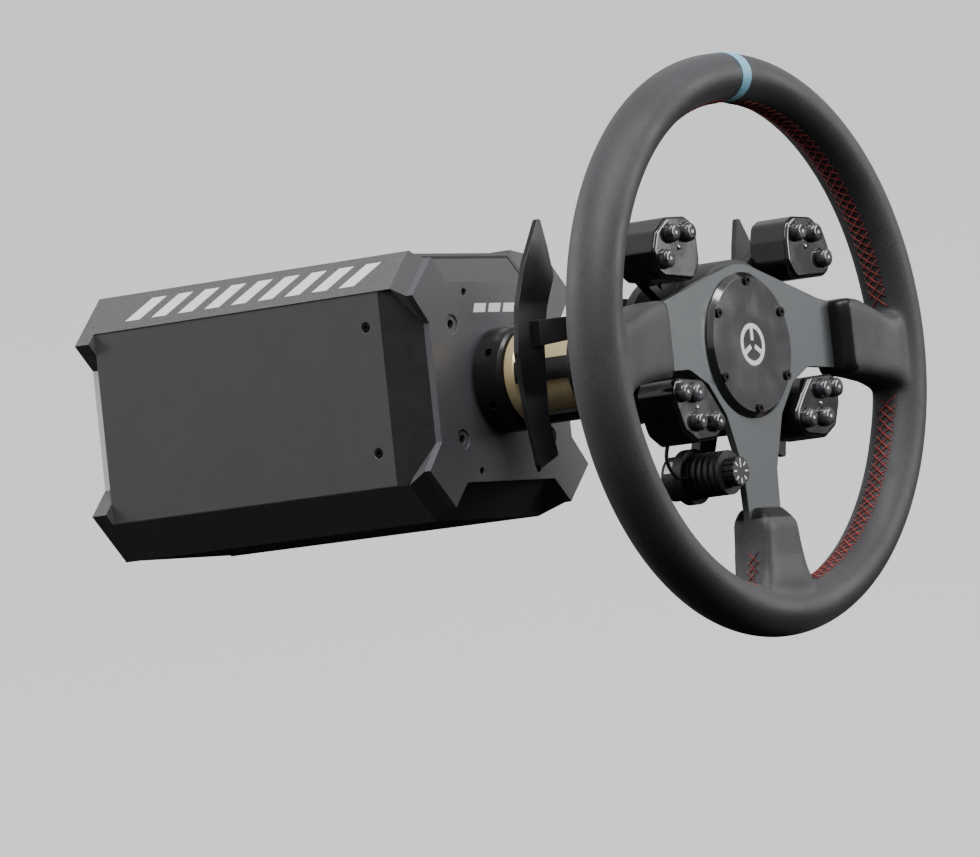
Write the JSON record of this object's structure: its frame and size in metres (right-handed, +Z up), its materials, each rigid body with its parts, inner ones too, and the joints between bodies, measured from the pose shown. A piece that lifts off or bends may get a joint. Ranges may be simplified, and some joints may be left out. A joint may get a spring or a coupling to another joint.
{
  "type": "racing wheel",
  "caption": "Direct-drive racing wheel for a driving simulator: motor base, quick release, and a round leather-wrapped wheel with button pods and shift paddles.",
  "frame": {"origin": "centre of the four threaded holes in the base's bottom mounting face", "axes": "+Z up, out of the mounting face into the base; -Y towards the driver along the wheel's shaft; +X to the driver's right"},
  "size_m": [0.32, 0.426, 0.3204],
  "materials": {
    "face_paint": "satin anodised dark grey",
    "cowl_paint": "satin dark grey",
    "cheek_plastic": "matte black",
    "rail_paint": "fine textured grey",
    "panel_paint": "satin dark grey",
    "housing_aluminium": "cast",
    "rear_aluminium": "machined",
    "socket_plastic": "black",
    "power_plastic": "gloss black",
    "screw_steel": "black oxide",
    "lamination_steel": "stacked sheet",
    "copper": "varnished copper wire",
    "bearing_steel": "polished",
    "board": "circuit board",
    "shaft_steel": "ground",
    "magnet": "nickel plated",
    "disc_glass": "clear film",
    "clamp_black": "black anodised",
    "gold": "gold anodised",
    "hub_black": "black anodised",
    "plate_aluminium": "satin anodised dark grey",
    "core_aluminium": "tube",
    "leather": "smooth leather, red stitching",
    "stripe": "light blue leather",
    "badge_black": "gloss black",
    "pod_black": "gloss black",
    "button_clear": "smoky clear",
    "module_black": "ribbed black",
    "knob_black": "black with silver marks",
    "paddle_black": "satin black"
  },
  "bodies": {
    "base": {"front_plate": "face_paint", "front_cowl": "cowl_paint", "side_cheeks": "cheek_plastic", "corner_rails": "rail_paint", "side_panel_left": "panel_paint", "side_panel_right": "panel_paint", "top_panel": "panel_paint", "bottom_plate": "panel_paint", "panel_screws": "screw_steel", "motor_housing": "housing_aluminium", "rear_plate": "rear_aluminium", "rear_sockets": "socket_plastic", "stator_core": "lamination_steel", "stator_windings": "copper", "front_bearing": "bearing_steel", "rear_bearing": "bearing_steel", "encoder_board": "board", "control_board": "board"},
    "wheel": {"main_shaft": "shaft_steel", "rotor_core": "lamination_steel", "rotor_magnets": "magnet", "encoder_disc": "disc_glass", "clamp_hub": "clamp_black", "clamp_screws": "screw_steel", "quick_release_cone": "gold", "quick_release_keys": "clamp_black", "quick_release_socket": "hub_black", "hub_housing": "hub_black", "spoke_plate": "plate_aluminium", "rim_core": "core_aluminium", "rim_grip": "leather", "spoke_wraps": "leather", "centre_stripe": "stripe", "badge": "badge_black", "badge_screws": "screw_steel", "rotary_module": "module_black", "paddle_brackets": "hub_black", "pod_upper_right": "pod_black", "pod_upper_left": "pod_black", "pod_lower_right": "pod_black", "pod_lower_left": "pod_black"},
    "power_button": {"power_button": "power_plastic"},
    "lock_collar": {"lock_collar": "clamp_black"},
    "rotary_knob": {"rotary_knob": "knob_black"},
    "paddle_left": {"paddle_left": "paddle_black"},
    "paddle_right": {"paddle_right": "paddle_black"},
    "button_upper_right_1": {"button_upper_right_1": "button_clear"},
    "button_upper_right_2": {"button_upper_right_2": "button_clear"},
    "button_upper_right_3": {"button_upper_right_3": "button_clear"},
    "button_upper_left_1": {"button_upper_left_1": "button_clear"},
    "button_upper_left_2": {"button_upper_left_2": "button_clear"},
    "button_upper_left_3": {"button_upper_left_3": "button_clear"},
    "button_lower_right_1": {"button_lower_right_1": "button_clear"},
    "button_lower_right_2": {"button_lower_right_2": "button_clear"},
    "button_lower_right_3": {"button_lower_right_3": "button_clear"},
    "button_lower_right_4": {"button_lower_right_4": "button_clear"},
    "button_lower_left_1": {"button_lower_left_1": "button_clear"},
    "button_lower_left_2": {"button_lower_left_2": "button_clear"},
    "button_lower_left_3": {"button_lower_left_3": "button_clear"},
    "button_lower_left_4": {"button_lower_left_4": "button_clear"}
  },
  "joints": [
    {"name": "steering", "type": "hinge", "parent": "base", "child": "wheel", "pos_m": [0, -0.1195, 0.0755], "axis": [0, 1, 0], "continuous": true},
    {"name": "power_press", "type": "slide", "parent": "base", "child": "power_button", "axis": [0, -1, 0], "range_m": [0, 0.0012], "stiffness_N_per_m": 1500, "springref_m": -0.0004},
    {"name": "collar_pull", "type": "slide", "parent": "wheel", "child": "lock_collar", "axis": [0, -1, 0], "range_m": [0, 0.008], "stiffness_N_per_m": 2000, "springref_m": -0.004},
    {"name": "knob_turn", "type": "hinge", "parent": "wheel", "child": "rotary_knob", "pos_m": [-0.033, -0.2875, 0.0065], "axis": [0, 1, 0], "continuous": true},
    {"name": "paddle_left_pull", "type": "hinge", "parent": "wheel", "child": "paddle_left", "pos_m": [-0.05, -0.226, 0.096], "axis": [0, 0, 1], "range_deg": [0, 4], "stiffness_Nm_per_rad": 7, "springref_deg": -2.86},
    {"name": "paddle_right_pull", "type": "hinge", "parent": "wheel", "child": "paddle_right", "pos_m": [0.05, -0.226, 0.096], "axis": [0, 0, -1], "range_deg": [0, 4], "stiffness_Nm_per_rad": 7, "springref_deg": -2.86},
    {"name": "press_upper_right_1", "type": "slide", "parent": "wheel", "child": "button_upper_right_1", "axis": [0, 1, 0], "range_m": [0, 0.0015], "stiffness_N_per_m": 900, "springref_m": -0.0005},
    {"name": "press_upper_right_2", "type": "slide", "parent": "wheel", "child": "button_upper_right_2", "axis": [0, 1, 0], "range_m": [0, 0.0015], "stiffness_N_per_m": 900, "springref_m": -0.0005},
    {"name": "press_upper_right_3", "type": "slide", "parent": "wheel", "child": "button_upper_right_3", "axis": [0, 1, 0], "range_m": [0, 0.0015], "stiffness_N_per_m": 900, "springref_m": -0.0005},
    {"name": "press_upper_left_1", "type": "slide", "parent": "wheel", "child": "button_upper_left_1", "axis": [0, 1, 0], "range_m": [0, 0.0015], "stiffness_N_per_m": 900, "springref_m": -0.0005},
    {"name": "press_upper_left_2", "type": "slide", "parent": "wheel", "child": "button_upper_left_2", "axis": [0, 1, 0], "range_m": [0, 0.0015], "stiffness_N_per_m": 900, "springref_m": -0.0005},
    {"name": "press_upper_left_3", "type": "slide", "parent": "wheel", "child": "button_upper_left_3", "axis": [0, 1, 0], "range_m": [0, 0.0015], "stiffness_N_per_m": 900, "springref_m": -0.0005},
    {"name": "press_lower_right_1", "type": "slide", "parent": "wheel", "child": "button_lower_right_1", "axis": [0, 1, 0], "range_m": [0, 0.0015], "stiffness_N_per_m": 900, "springref_m": -0.0005},
    {"name": "press_lower_right_2", "type": "slide", "parent": "wheel", "child": "button_lower_right_2", "axis": [0, 1, 0], "range_m": [0, 0.0015], "stiffness_N_per_m": 900, "springref_m": -0.0005},
    {"name": "press_lower_right_3", "type": "slide", "parent": "wheel", "child": "button_lower_right_3", "axis": [0, 1, 0], "range_m": [0, 0.0015], "stiffness_N_per_m": 900, "springref_m": -0.0005},
    {"name": "press_lower_right_4", "type": "slide", "parent": "wheel", "child": "button_lower_right_4", "axis": [0, 1, 0], "range_m": [0, 0.0015], "stiffness_N_per_m": 900, "springref_m": -0.0005},
    {"name": "press_lower_left_1", "type": "slide", "parent": "wheel", "child": "button_lower_left_1", "axis": [0, 1, 0], "range_m": [0, 0.0015], "stiffness_N_per_m": 900, "springref_m": -0.0005},
    {"name": "press_lower_left_2", "type": "slide", "parent": "wheel", "child": "button_lower_left_2", "axis": [0, 1, 0], "range_m": [0, 0.0015], "stiffness_N_per_m": 900, "springref_m": -0.0005},
    {"name": "press_lower_left_3", "type": "slide", "parent": "wheel", "child": "button_lower_left_3", "axis": [0, 1, 0], "range_m": [0, 0.0015], "stiffness_N_per_m": 900, "springref_m": -0.0005},
    {"name": "press_lower_left_4", "type": "slide", "parent": "wheel", "child": "button_lower_left_4", "axis": [0, 1, 0], "range_m": [0, 0.0015], "stiffness_N_per_m": 900, "springref_m": -0.0005}
  ]
}
